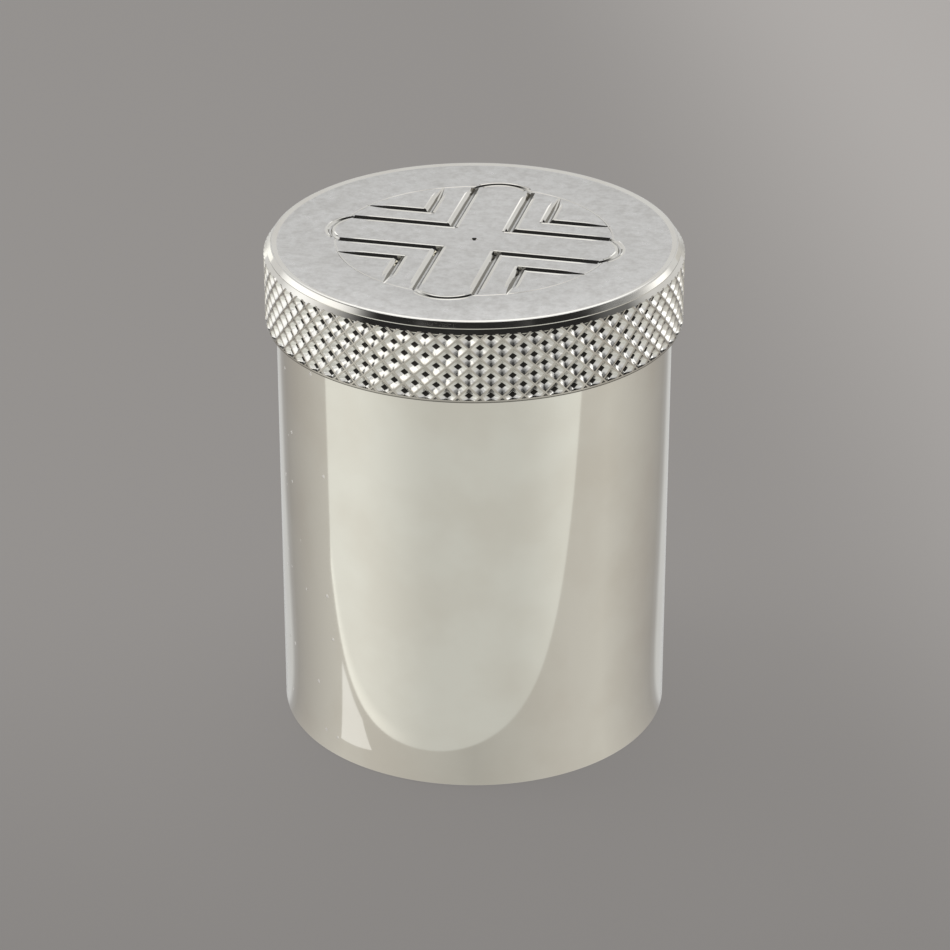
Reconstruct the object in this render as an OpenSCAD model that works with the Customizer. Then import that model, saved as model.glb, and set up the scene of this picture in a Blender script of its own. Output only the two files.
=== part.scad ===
// Pocket oil stock: a small plated cylinder that holds an oil-soaked wad in a lift-out cup, closed by a
// knurled screw cap with an engraved cross. Millimetres, +Z up, origin at the centre of the base.

/* [Body] */
// Height from the base to the top of the closed cap
overall_h = 35; // [28:0.5:60]
// Outer diameter of the body tube
body_d = 27; // [22:0.5:45]
// Wall of the body tube
tube_wall = 1; // [0.6:0.1:1.6]
// Bevel round the foot of the body tube
foot_bevel = 0.25; // [0.1:0.05:0.4]
// Bevel round the upper rim of the body tube
rim_bevel = 0.12; // [0.06:0.02:0.3]
// Thickness of the disc soldered into the foot of the tube
base_t = 1.2; // [0.8:0.1:3]
// Radial gap that the solder fills round the base disc and the neck
solder_gap = 0.02; // [0.01:0.01:0.05]

/* [Neck] */
// Depth of the neck's seat inside the tube
neck_seat = 5; // [3:0.5:9]
// Width of the shoulder between the tube's bore and the root of the thread
neck_step = 1; // [0.7:0.05:1.5]
// Wall of the neck under the thread
neck_wall = 1.1; // [0.7:0.1:2]

/* [Thread] */
// Rise of the thread in one turn
thread_lead = 1; // [0.8:0.05:1.3]
// Height of the thread's ridge
thread_h = 0.45; // [0.3:0.05:0.6]
// Angle of the thread's flanks
flank_angle = 30; // [25:1:35]
// Radial clearance between each crest and the root it faces
thread_clearance = 0.15; // [0.1:0.01:0.2]
// Plain length left at each end of a thread
thread_runout = 0.1; // [0.05:0.05:0.3]

/* [Cap] */
// Height of the cap
cap_h = 5.5; // [5:0.1:9]
// How far the cap stands out past the body all round
cap_overhang = 0.75; // [0.4:0.05:2]
// Thickness of the cap's top
cap_top_t = 1; // [0.7:0.1:2]
// Height of the bevel round the cap's top
bevel_h = 0.65; // [0.3:0.05:1]
// Width of the bevel round the cap's top
bevel_w = 0.5; // [0.2:0.05:1]
// Height of the plain lip under the knurling
lip_h = 0.2; // [0.15:0.05:0.5]
// Bevel at the mouth of the cap's thread
mouth_bevel = 0.3; // [0.1:0.05:0.4]
// Gap between the closed cap and the rim of the body
seam_gap = 0.1; // [0.05:0.01:0.2]

/* [Knurling] */
// Distance from one diamond to the next round the cap
knurl_pitch = 1.44; // [1:0.02:2]
// Depth of the diamonds pressed in between the ridges
knurl_depth = 0.3; // [0.2:0.05:0.5]
// How far the plain rims stand out past the ridges
rim_proud = 0.03; // [0.01:0.01:0.1]

/* [Cross] */
// Reach of each arm from the centre
arm_reach = 10; // [7:0.25:12]
// Width of each arm between its two lines
arm_w = 4; // [2:0.25:6]
// Radius of the curve across each arm's end
arm_end_r = 2.4; // [2.2:0.1:6]
// Distance from an arm's line to the line beside it
line_offset = 2.15; // [1:0.05:3]
// Width of each engraved line
line_w = 0.45; // [0.2:0.05:0.8]
// Depth of each engraved line
line_depth = 0.2; // [0.1:0.05:0.4]
// Radius of the scribed circle on which the outer lines end
scribe_r = 9.4; // [7:0.1:12]
// Width of the scribed circle
scribe_w = 0.16; // [0.1:0.02:0.4]
// Depth of the scribed circle
scribe_depth = 0.06; // [0.04:0.01:0.2]
// How far the outer lines run on past the scribed circle
line_overrun = 0.3; // [0.1:0.1:1]
// Diameter of the centre prick
prick_d = 0.5; // [0.3:0.1:1]

/* [Oil cup] */
// Radial clearance between the cup and the neck's bore
cup_fit = 0.15; // [0.05:0.05:0.3]
// Wall and floor of the cup
cup_wall = 0.5; // [0.3:0.1:1]
// How far the cup's flange reaches out over the neck
cup_flange_w = 0.85; // [0.5:0.05:1]
// Thickness of the cup's flange
cup_flange_t = 0.45; // [0.3:0.05:0.8]
// Space between the cup and the base disc
cup_standoff = 1.8; // [0.5:0.1:6]

/* [Wad] */
// Height of the cotton wad at its middle
wad_h = 18; // [6:0.5:20]
// Rise of the wad's crown over its edge
wad_crown = 2; // [0.5:0.5:5]
// Radial space round the wad
wad_gap = 0.2; // [0.1:0.1:1]

/* [Seal] */
// Thickness of the sealing disc
seal_t = 0.65; // [0.4:0.05:1.2]
// Radial clearance between the sealing disc and the cap's bore
seal_fit = 0.2; // [0.1:0.05:0.25]
// Gap over and under the sealing disc
seal_gap = 0.05; // [0.02:0.01:0.1]

/* [Hidden] */
$fn = 96;

// Extra reach of a cutter past the face it opens
cut_over = 0.5;
// How deep a ridge or the knurled band is rooted in the metal behind it
root_depth = 0.18;
// How far the ends of the knurled band run into the plain rims
rim_bite = 0.06;
// Flats that stand in for one turn of the thread
thread_flats = 36;

body_r = body_d / 2;
tube_in_r = body_r - tube_wall;
seat_r = tube_in_r - solder_gap;
cap_r = body_r + cap_overhang;

neck_root_r = tube_in_r - neck_step;
neck_bore_r = neck_root_r - neck_wall;
neck_crest_r = neck_root_r + thread_h;
cap_bore_r = neck_crest_r + thread_clearance;
cap_crest_r = cap_bore_r - thread_h;

cap_low = overall_h - cap_h;
tube_top = cap_low - seam_gap;
ceiling = overall_h - cap_top_t;
seal_top = ceiling - seal_gap;
seal_low = seal_top - seal_t;
cup_top = seal_low - seal_gap;
neck_top = cup_top - cup_flange_t;
cup_low = base_t + cup_standoff;

cup_r = neck_bore_r - cup_fit;
cup_in_r = cup_r - cup_wall;
cup_flange_r = neck_bore_r + cup_flange_w;
wad_r = cup_in_r - wad_gap;
wad_low = cup_low + cup_wall;

crest_w = thread_lead / 6;
ridge_w = crest_w + 2 * thread_h * tan(flank_angle);

knurl_ridge_r = cap_r - rim_proud;
knurl_pit_r = knurl_ridge_r - knurl_depth;
knurl_core_r = knurl_pit_r - root_depth;
knurl_in_r = knurl_core_r - root_depth;
rim_low = overall_h - bevel_h;
knurl_low = cap_low + lip_h - rim_bite;
knurl_top = rim_low + rim_bite;
knurl_count = round(2 * PI * cap_r / knurl_pitch);
knurl_rows = round((knurl_top - knurl_low) / (knurl_pitch / 2));
knurl_step = (knurl_top - knurl_low) / knurl_rows;

arm_half = arm_w / 2;
outer_half = arm_half + line_offset;
arm_end_centre = arm_reach - arm_end_r;
arm_side_end = arm_end_centre + sqrt(pow(arm_end_r, 2) - pow(arm_half, 2));
outer_line_end = sqrt(pow(scribe_r + line_overrun, 2) - pow(outer_half, 2));

// Corners of a ridge's cross-section at one turn angle, in the order that keeps its faces outward
function ridge_section(angle, z, root_r, crest_r) =
    let (root_half = crest_w / 2 + abs(crest_r - root_r) * tan(flank_angle),
         low_to_high = [[root_r, -root_half], [crest_r, -crest_w / 2],
                        [crest_r, crest_w / 2], [root_r, root_half]],
         order = crest_r > root_r ? [0, 1, 2, 3] : [3, 2, 1, 0])
    [for (i = order) [low_to_high[i][0] * cos(angle), low_to_high[i][0] * sin(angle), z + low_to_high[i][1]]];

// A right-handed ridge that winds up from z_low to z_high at a height of lead * angle / 360 + offset
module thread_ridge(root_r, crest_r, z_low, z_high, offset) {
    steps = ceil((z_high - z_low) / thread_lead * thread_flats);
    rise = (z_high - z_low) / steps;
    sections = [for (k = [0:steps])
        let (z = z_low + k * rise)
        ridge_section(360 * (z - offset) / thread_lead, z, root_r, crest_r)];
    points = [for (section = sections) each section];
    sides = [for (k = [0:steps - 1], j = [0:3])
        let (here = 4 * k + j, beside = 4 * k + (j + 1) % 4)
        each [[here, beside, beside + 4], [here, beside + 4, here + 4]]];
    last = 4 * steps;
    ends = [[2, 1, 0], [3, 2, 0], [last, last + 1, last + 2], [last, last + 2, last + 3]];
    polyhedron(points, concat(sides, ends));
}

// One point of the knurled band: pits and ridge crossings alternate like the squares of a chessboard
function knurl_point(column, row) =
    let (r = (column + row) % 2 == 0 ? knurl_pit_r : knurl_ridge_r, angle = column * 180 / knurl_count)
    [r * cos(angle), r * sin(angle), knurl_low + row * knurl_step];

// A ring of pressed diamonds between crossing ridges, closed behind by a plain inner wall
module knurled_band() {
    columns = 2 * knurl_count;
    inner = columns * (knurl_rows + 1);
    function at(column, row) = row * columns + column % columns;
    function inside(column, end) = inner + end * columns + column % columns;
    points = concat(
        [for (row = [0:knurl_rows], column = [0:columns - 1]) knurl_point(column, row)],
        [for (z = [knurl_low, knurl_top], column = [0:columns - 1])
            let (angle = column * 180 / knurl_count)
            [knurl_in_r * cos(angle), knurl_in_r * sin(angle), z]]);
    diamonds = [for (row = [0:knurl_rows - 1], c = [0:columns - 1])
        each (c + row) % 2 == 0
            ? [[at(c, row + 1), at(c + 1, row), at(c, row)],
               [at(c, row + 1), at(c + 1, row + 1), at(c + 1, row)]]
            : [[at(c + 1, row + 1), at(c + 1, row), at(c, row)],
               [at(c, row + 1), at(c + 1, row + 1), at(c, row)]]];
    lower = [for (c = [0:columns - 1])
        each [[at(c, 0), at(c + 1, 0), inside(c + 1, 0)], [at(c, 0), inside(c + 1, 0), inside(c, 0)]]];
    upper = [for (c = [0:columns - 1])
        each [[inside(c, 1), inside(c + 1, 1), at(c + 1, knurl_rows)],
              [inside(c, 1), at(c + 1, knurl_rows), at(c, knurl_rows)]]];
    wall = [for (c = [0:columns - 1])
        each [[inside(c, 0), inside(c + 1, 0), inside(c + 1, 1)], [inside(c, 0), inside(c + 1, 1), inside(c, 1)]]];
    polyhedron(points, concat(diamonds, lower, upper, wall));
}

// One straight line of the cross, up from its start
module cross_line(x, start, end) {
    translate([x - line_w / 2, start - line_w / 2])
        square([line_w, end - start + line_w / 2]);
}

// The curve across the end of the arm that points along +Y
module arm_end() {
    intersection() {
        translate([0, arm_end_centre])
            difference() {
                circle(r = arm_end_r + line_w / 2);
                circle(r = arm_end_r - line_w / 2);
            }
        translate([-arm_half - line_w / 2, arm_side_end - line_w / 2])
            square([arm_w + line_w, arm_reach]);
    }
}

// The outline of the cross and the bracket of lines in each of its corners
module cross_lines() {
    for (arm = [0:3])
        rotate(90 * arm) {
            for (side = [-1, 1]) {
                cross_line(side * arm_half, arm_half, arm_side_end);
                cross_line(side * outer_half, outer_half, outer_line_end);
            }
            arm_end();
        }
}

// The scribed circle, which stops at the arms
module scribed_circle() {
    difference() {
        circle(r = scribe_r + scribe_w / 2);
        circle(r = scribe_r - scribe_w / 2);
        for (turn = [0, 90])
            rotate(turn)
                square([arm_w, 2 * scribe_r + line_w], center = true);
    }
}

// A flat cut of the given depth into the cap's top
module engrave(depth) {
    translate([0, 0, overall_h - depth])
        linear_extrude(depth + cut_over)
            children();
}

module body_tube() {
    color("silver")
        rotate_extrude()
            polygon([[tube_in_r, 0], [body_r - foot_bevel, 0], [body_r, foot_bevel],
                     [body_r, tube_top - rim_bevel], [body_r - rim_bevel, tube_top], [tube_in_r, tube_top]]);
}

module base_disc() {
    color("silver")
        cylinder(r = seat_r, h = base_t);
}

module neck_collar() {
    color("gainsboro")
        union() {
            rotate_extrude()
                polygon([[neck_bore_r, tube_top - neck_seat], [seat_r, tube_top - neck_seat],
                         [seat_r, tube_top], [neck_root_r, tube_top],
                         [neck_root_r, neck_top], [neck_bore_r, neck_top]]);
            thread_ridge(neck_root_r - root_depth, neck_crest_r, tube_top + ridge_w / 2 + thread_runout,
                         neck_top - ridge_w / 2 - thread_runout, 0);
        }
}

module oil_cup() {
    color("goldenrod")
        rotate_extrude()
            polygon([[0, cup_low], [cup_r, cup_low], [cup_r, neck_top], [cup_flange_r, neck_top],
                     [cup_flange_r, cup_top], [cup_in_r, cup_top], [cup_in_r, wad_low], [0, wad_low]]);
}

// The crown is part of a sphere that meets the wad's side at its upper edge
module cotton_wad() {
    crown_r = (pow(wad_r, 2) + pow(wad_crown, 2)) / (2 * wad_crown);
    color("ivory")
        intersection() {
            translate([0, 0, wad_low])
                cylinder(r = wad_r, h = wad_h + cut_over);
            translate([0, 0, wad_low + wad_h - crown_r])
                sphere(r = crown_r);
        }
}

module sealing_disc() {
    color("dimgray")
        translate([0, 0, seal_low])
            cylinder(r = cap_bore_r - seal_fit, h = seal_t);
}

module screw_cap() {
    color("lightgray")
        union() {
            difference() {
                rotate_extrude()
                    polygon([[cap_bore_r + mouth_bevel, cap_low], [cap_r, cap_low],
                             [cap_r, cap_low + lip_h], [knurl_core_r, cap_low + lip_h],
                             [knurl_core_r, rim_low], [cap_r, rim_low],
                             [cap_r - bevel_w, overall_h], [0, overall_h],
                             [0, ceiling], [cap_bore_r, ceiling],
                             [cap_bore_r, cap_low + mouth_bevel]]);
                engrave(line_depth)
                    cross_lines();
                engrave(scribe_depth)
                    scribed_circle();
                translate([0, 0, overall_h - prick_d / 2])
                    cylinder(r1 = 0, r2 = prick_d, h = prick_d);
            }
            knurled_band();
            thread_ridge(cap_bore_r + root_depth, cap_crest_r,
                         cap_low + mouth_bevel + ridge_w / 2 + thread_runout,
                         seal_low - ridge_w / 2 - thread_runout, thread_lead / 2);
        }
}

body_tube();
base_disc();
neck_collar();
oil_cup();
cotton_wad();
sealing_disc();
screw_cap();
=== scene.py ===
"""Dresses a pocket oil stock: a mirror-plated cylinder, its knurled screw cap with an engraved cross, and the
threaded neck, gilt oil cup, cotton wad and rubber seal inside, on a plain stage with the camera."""

import math

import bmesh
import bpy
from mathutils import Matrix, Vector, noise


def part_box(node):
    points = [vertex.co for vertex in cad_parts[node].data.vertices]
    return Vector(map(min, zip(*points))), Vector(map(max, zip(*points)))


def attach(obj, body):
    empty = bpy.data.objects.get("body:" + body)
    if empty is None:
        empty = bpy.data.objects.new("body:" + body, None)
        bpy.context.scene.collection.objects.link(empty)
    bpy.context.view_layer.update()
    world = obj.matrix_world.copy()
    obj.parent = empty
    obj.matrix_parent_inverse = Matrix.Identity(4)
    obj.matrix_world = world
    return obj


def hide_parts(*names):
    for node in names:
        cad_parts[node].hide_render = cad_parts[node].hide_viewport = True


bl_info = {
    "name": "Pocket Oil Stock",
    "version": (1, 0, 0),
    "blender": (4, 5, 0),
    "location": "View3D > Sidebar > Oil Stock",
    "description": "Builds the finished pieces of a pocket oil stock round its frame, with stage and camera",
    "category": "Add Mesh",
}

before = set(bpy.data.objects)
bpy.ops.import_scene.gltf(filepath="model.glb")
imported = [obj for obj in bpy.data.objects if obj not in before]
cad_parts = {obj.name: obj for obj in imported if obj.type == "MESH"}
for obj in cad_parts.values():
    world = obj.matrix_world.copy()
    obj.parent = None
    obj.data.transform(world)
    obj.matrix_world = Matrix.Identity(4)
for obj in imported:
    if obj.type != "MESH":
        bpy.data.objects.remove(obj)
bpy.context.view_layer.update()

MM = 0.001
FULL_TURN = 2 * math.pi
PHOTO_SIDE = 950
SENSOR_WIDTH = 36.0

# Corners nearer than this are one corner.
MERGE = 0.0001 * MM
# Faces round a turned piece: small discs, the neck and the cup, the body and the cap.
DISC_STEPS, NECK_STEPS, BODY_STEPS = 160, 192, 256
# Faces in a turn of a thread and along a curved bar.
THREAD_STEPS, ARC_STEPS = 64, 32
# A turned disc starts at this share of its radius, and the hole is filled.
MIDDLE = 0.02
# Edges over the first angle are rounded, and edges over the second are shaded sharp.
ROUNDED_OVER, SHARP_OVER = math.radians(25), math.radians(12)
# The cap's materials, in the order of its slots.
BRIGHT, SATIN, KNURLED = range(3)


def extents(node):
    """Radius, lowest height and highest height of a turned CAD node."""
    low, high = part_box(node)
    return high.x, low.z, high.z


def length(name, description, millimetres):
    """A size, given in millimetres."""
    return bpy.props.FloatProperty(name=name, description=description, default=millimetres * MM,
                                   unit="LENGTH", subtype="DISTANCE", precision=5)


def angle(name, description, degrees):
    """An angle, given in degrees."""
    return bpy.props.FloatProperty(name=name, description=description, default=math.radians(degrees),
                                   unit="ROTATION", subtype="ANGLE")


def colour(name, description, default):
    """A surface colour."""
    return bpy.props.FloatVectorProperty(name=name, description=description, default=default,
                                         subtype="COLOR", min=0.0, max=1.0)


def number(name, description, default):
    """A plain value."""
    return bpy.props.FloatProperty(name=name, description=description, default=default)


class OilStockSizes(bpy.types.PropertyGroup):
    """Sizes of the finished pieces that their boxes do not give"""

    tube_wall: length("Tube wall", "Wall of the body tube", 1.0)
    foot_bevel: length("Foot bevel", "Bevel round the foot of the body", 0.25)
    rim_bevel: length("Rim bevel", "Bevel round the body's upper rim", 0.12)
    edge_round: length("Edge round", "Rounding of the turned edges", 0.06)

    bevel_height: length("Cap bevel height", "Height of the bevel round the cap's top", 0.65)
    bevel_width: length("Cap bevel width", "Width of the bevel round the cap's top", 0.5)
    bevel_step: length("Cap bevel step", "Upright step halfway up the bevel", 0.05)
    rim_round: length("Cap rim round", "Rounding between the cap's rim and its bevel", 0.06)
    rim_width: length("Cap rim width", "Width of the polished rim round the cap's top", 0.4)
    rim_rise: length("Cap rim rise", "How far the polished rim rises to its outer edge", 0.075)
    lip_round: length("Lip round", "Rounding of the cap's lower edge", 0.09)
    cap_lip: length("Cap lip", "Plain lip under the knurling", 0.2)
    cap_top_wall: length("Cap top wall", "Thickness of the cap's top", 1.0)
    cap_mouth: length("Cap mouth", "Bevel at the mouth of the cap's thread", 0.3)

    knurl_count: bpy.props.IntProperty(
        name="Knurl count", description="Diamonds in one row round the cap", default=62, min=12)
    knurl_rise: length("Knurl rise", "From one diamond to the next one over it", 1.362)
    knurl_start: length("Knurl start", "From the cap's lower edge to the first row of diamonds", 0.45)
    knurl_depth: length("Knurl depth", "Depth of the pressed diamonds", 0.3)
    knurl_ridge: length("Knurl ridge", "Half the width of the ridges between the diamonds", 0.05)
    knurl_slope: length("Knurl slope", "Width of each diamond's sloping side", 0.36)
    overlap: length("Overlap", "How far one part of a piece runs into the next", 0.1)

    arm_reach: length("Arm reach", "Reach of each arm of the cross", 10.0)
    arm_width: length("Arm width", "Width of each arm between its lines", 4.0)
    arm_end_radius: length("Arm end radius", "Radius of the curve across each arm's end", 2.4)
    line_offset: length("Line offset", "From an arm's line to the line beside it", 2.15)
    line_width: length("Line width", "Width of each engraved line", 0.58)
    line_floor: length("Line floor", "Width of each line at its bottom", 0.12)
    line_depth: length("Line depth", "Depth of each engraved line", 0.28)
    line_taper: length("Line taper", "Length over which the outer lines run out", 2.0)
    curve_width: length("Curve width", "Width of the curve across each arm's end", 0.3)
    curve_depth: length("Curve depth", "Depth of the curve across each arm's end", 0.1)
    burr_width: length("Burr width", "Width of the burr thrown up beside each line", 0.2)
    burr_height: length("Burr height", "Height of the burr thrown up beside each line", 0.04)
    scribe_radius: length("Scribe radius", "Radius of the scribed circle", 9.4)
    scribe_width: length("Scribe width", "Width of the scribed circle", 0.14)
    scribe_depth: length("Scribe depth", "Depth of the scribed circle", 0.03)
    line_overrun: length("Line overrun", "How far the outer lines pass the circle", 0.3)
    prick_radius: length("Prick radius", "Radius of the centre prick", 0.25)

    thread_lead: length("Thread lead", "Rise of the thread in one turn", 1.0)
    thread_height: length("Thread height", "Height of the thread's ridge", 0.45)
    thread_runout: length("Thread runout", "Plain length at each end of a thread", 0.1)
    flank_angle: angle("Flank angle", "Angle of the thread's flanks", 30.0)
    neck_wall: length("Neck wall", "Wall of the neck under the thread", 1.1)
    seal_fit: length("Seal fit", "Gap round the sealing disc", 0.2)
    cup_fit: length("Cup fit", "Gap between the cup and the neck", 0.15)
    cup_wall: length("Cup wall", "Wall of the oil cup", 0.5)
    cup_flange: length("Cup flange", "Reach of the cup's flange past its wall", 1.0)
    cup_flange_thickness: length("Cup flange thickness", "Thickness of the cup's flange", 0.45)


class OilStockColours(bpy.types.PropertyGroup):
    """Colours of the finishes"""

    plate: colour("Plate", "Bright nickel plate", (0.80, 0.785, 0.735))
    plate_shade: colour("Plate shade", "Duller patches of the plate", (0.76, 0.735, 0.68))
    blister: colour("Blister", "Small pale blisters in the plate", (0.88, 0.85, 0.81))
    # Darker, browner tint on the ridge tops of the knurling.
    ridge: colour("Ridge", "Rubbed ridges of the knurling", (0.42, 0.38, 0.33))
    satin: colour("Satin plate", "Satin plate on the cap's top", (0.70, 0.695, 0.68))
    satin_shade: colour("Satin shade", "Handled patches of the satin plate", (0.57, 0.56, 0.54))
    # Dark colour at the bottom of the knurling's diamonds, also used as painted shade along the cap's lower
    # edge.
    dark_pits_and_painted_seam_shade: colour("Tarnish", "Tarnish at the bottom of the knurling", (0.03, 0.028, 0.026))
    gilt: colour("Gilt", "Gilding of the oil cup", (0.86, 0.66, 0.32))
    gilt_shade: colour("Gilt shade", "Oil-stained gilding", (0.72, 0.50, 0.20))
    cotton: colour("Cotton", "Dry cotton", (0.86, 0.83, 0.75))
    cotton_oiled: colour("Oiled cotton", "Cotton soaked with oil", (0.72, 0.64, 0.42))
    rubber: colour("Rubber", "Black rubber of the seal", (0.028, 0.028, 0.027))
    rubber_worn: colour("Worn rubber", "Paler patches of the rubber", (0.06, 0.058, 0.055))
    floor: colour("Floor", "Plain floor", (0.285, 0.272, 0.262))
    card: colour("Card", "Pale card in front of the object", (0.795, 0.795, 0.745))


class OilStockStage(bpy.types.PropertyGroup):
    """Where the camera and the lights stand"""

    camera_turn: angle("Camera turn", "Camera's place round the object", 13.0)
    camera_distance: length("Camera distance", "From the axis to the camera, level", 220.0)
    camera_height: length("Camera height", "Camera's height over the floor", 128.2)
    camera_pitch: angle("Camera pitch", "How far the camera looks down", 26.784)
    camera_aside: length("Camera aside", "Sideways step that frames the object", 0.05)
    focal_pixels: number("Focal length", "Focal length in pixels of the photograph", 3528.0)
    card_gap: length("Card gap", "From the axis to the near edge of the pale card", 16.4)
    card_turn: angle("Card turn", "Turn of the pale card round the object", -5.0)
    card_bend: angle("Card bend", "How far the left of the card's near edge turns away", 12.0)
    card_bend_place: length("Card bend place", "From the card's middle to where its edge turns", 30.0)
    card_length: length("Card length", "Length of the pale card", 260.0)
    strip_gap: length("Strip gap", "From the axis to the white strip before the cap", 19.0)
    strip_low: length("Strip bottom", "Height of the white strip's lower edge", 33.5)
    strip_high: length("Strip top", "Height of the white strip's upper edge", 39.3)
    strip_end: length("Strip end", "From the middle to the near end of the white strip, on the left", 2.5)
    strip_length: length("Strip length", "Length of the white strip", 30.0)
    floor_reach: length("Floor reach", "Half the width of the floor", 4000.0)
    top_power: number("Top light", "Power of the light overhead in watts", 1.6)
    side_power: number("Side light", "Power of the light on the left in watts", 0.8)


def opaque(tone):
    """A colour with its alpha."""
    return (*tone, 1.0)


class NodeGraph:
    """Adds shader nodes to a tree and joins them."""

    def __init__(self, tree):
        self.tree = tree
        tree.nodes.clear()

    def add(self, kind, inputs=None, **settings):
        """Adds a node; an input is a value or another node's output."""
        node = self.tree.nodes.new(kind)
        for name, value in settings.items():
            setattr(node, name, value)
        for name, value in (inputs or {}).items():
            self.put(node, name, value)
        return node

    def put(self, node, name, value):
        """Sets one input of a node, or joins an output to it."""
        if isinstance(value, bpy.types.NodeSocket):
            self.tree.links.new(value, node.inputs[name])
        else:
            node.inputs[name].default_value = value

    def dress(self, shader, tone, roughness, normal):
        """Sets the inputs that every surface has."""
        self.put(shader, "Base Color", tone)
        self.put(shader, "Roughness", roughness)
        self.put(shader, "Normal", normal)

    def place(self):
        """The place on the object."""
        return self.add("ShaderNodeTexCoord").outputs["Object"]

    def parts(self, vector, turn=0.0):
        """A vector's X, Y and Z in axes that are turned round Z."""
        facing = self.add("ShaderNodeMapping", {"Vector": vector, "Rotation": (0, 0, -turn)})
        split = self.add("ShaderNodeSeparateXYZ", {"Vector": facing.outputs["Vector"]})
        return [split.outputs[axis] for axis in "XYZ"]

    def flattened(self, vector, times):
        """A vector with its Z multiplied, for marks that lie level."""
        return self.add("ShaderNodeMapping", {"Vector": vector, "Scale": (1, 1, times)}).outputs["Vector"]

    def size(self, vector):
        """The length of a vector."""
        return self.add("ShaderNodeVectorMath", {0: vector}, operation="LENGTH").outputs["Value"]

    def ramp(self, factor, *stops):
        """A colour ramp through (place, colour) stops."""
        node = self.add("ShaderNodeValToRGB", {"Fac": factor})
        elements = node.color_ramp.elements
        for _ in range(len(stops) - len(elements)):
            elements.new(0.5)
        for element, (place, tone) in zip(elements, stops):
            element.position = place
            element.color = opaque(tone)
        return node.outputs["Color"]

    def math(self, operation, first, second=0.0):
        """One sum on two values."""
        node = self.add("ShaderNodeMath", {0: first, 1: second}, operation=operation)
        return node.outputs["Value"]

    def product(self, first, *others):
        """The product of several values."""
        for other in others:
            first = self.math("MULTIPLY", first, other)
        return first

    def remap(self, value, low, high, to_low, to_high):
        """A smooth change from one range to another."""
        node = self.add(
            "ShaderNodeMapRange",
            {"Value": value, "From Min": low, "From Max": high, "To Min": to_low, "To Max": to_high},
            interpolation_type="SMOOTHSTEP")
        return node.outputs["Result"]

    def mix(self, factor, first, second, blend="MIX"):
        """A blend of two colours."""
        node = self.add("ShaderNodeMix", {0: factor, 6: first, 7: second}, data_type="RGBA", blend_type=blend)
        return node.outputs[2]

    def noise(self, vector, scale, detail=2.0, roughness=0.5, distortion=0.0):
        """Noise at a scale in blotches per metre."""
        node = self.add("ShaderNodeTexNoise", {"Vector": vector, "Scale": scale, "Detail": detail,
                                               "Roughness": roughness, "Distortion": distortion})
        return node.outputs["Fac"]

    def bump(self, height, millimetres, strength, normal=None):
        """A bump of the given depth."""
        node = self.add("ShaderNodeBump",
                        {"Height": height, "Distance": millimetres * MM, "Strength": strength})
        if normal is not None:
            self.put(node, "Normal", normal)
        return node.outputs["Normal"]

    def glow(self, tone, strength):
        """An even light."""
        return self.add("ShaderNodeEmission", {"Color": tone, "Strength": strength}).outputs["Emission"]

    def blend(self, factor, first, second):
        """A blend of two shaders."""
        return self.add("ShaderNodeMixShader", {0: factor, 1: first, 2: second}).outputs["Shader"]


def new_material(name):
    """An empty material and its graph."""
    material = bpy.data.materials.new(name)
    material.use_nodes = True
    return material, NodeGraph(material.node_tree)


def new_surface(name, **values):
    """A material with one Principled shader, whose constant values are given."""
    material, graph = new_material(name)
    shader = graph.add("ShaderNodeBsdfPrincipled", values)
    graph.add("ShaderNodeOutputMaterial", {"Surface": shader.outputs["BSDF"]})
    return material, graph, shader, graph.place()


# Direction of the side of the body that is the most blistered.
BLISTERED_SIDE = (-0.755, -0.656, 0.0)


def bright_plate(colours):
    """Mirror-polished nickel plate with cloudy patches, hair marks and small blisters on one side."""
    material, graph, shader, place = new_surface("bright_plate")
    tone = graph.ramp(graph.noise(place, 170, 3.0), (0.36, colours.plate_shade), (0.6, colours.plate))
    cells = graph.add("ShaderNodeTexVoronoi", {"Vector": place, "Scale": 800.0}).outputs
    side = graph.add("ShaderNodeVectorMath", {0: place, 1: BLISTERED_SIDE}, operation="DOT_PRODUCT")
    share = graph.remap(side.outputs["Value"], 12.3 * MM, 13.1 * MM, 0.97, 0.3)
    chosen = graph.math("GREATER_THAN", cells["Color"], share)
    blister = graph.product(chosen, graph.remap(cells["Distance"], 0.06, 0.13, 1.0, 0.0))
    graph.put(shader, "Metallic", graph.math("SUBTRACT", 1.0, blister))
    marks = graph.noise(graph.flattened(place, 30.0), 900, 4.0, 0.7)
    waves = graph.bump(graph.noise(place, 75, 1.0), 0.05, 0.35)
    graph.dress(shader, graph.mix(blister, tone, opaque(colours.blister)),
                graph.remap(marks, 0.3, 0.75, 0.05, 0.1), graph.bump(blister, 0.02, 0.6, waves))
    return material


def shared_plate(colours):
    """The bright plate, made once for all the pieces that have it."""
    return bpy.data.materials.get("bright_plate") or bright_plate(colours)


def satin_plate(colours):
    """Satin plate on the cap's top, mottled by handling and with a fine grain."""
    material, graph, shader, place = new_surface("satin_plate", Metallic=1.0)
    mottle = graph.noise(place, 1500, 6.0, 0.7)
    grain = graph.bump(graph.noise(place, 5200, 3.0, 0.7), 0.006, 0.5)
    dents = graph.bump(graph.noise(place, 900, 2.0), 0.012, 0.3, grain)
    graph.dress(shader, graph.ramp(mottle, (0.36, colours.satin_shade), (0.62, colours.satin)),
                graph.remap(mottle, 0.3, 0.7, 0.36, 0.27), dents)
    return material


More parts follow.
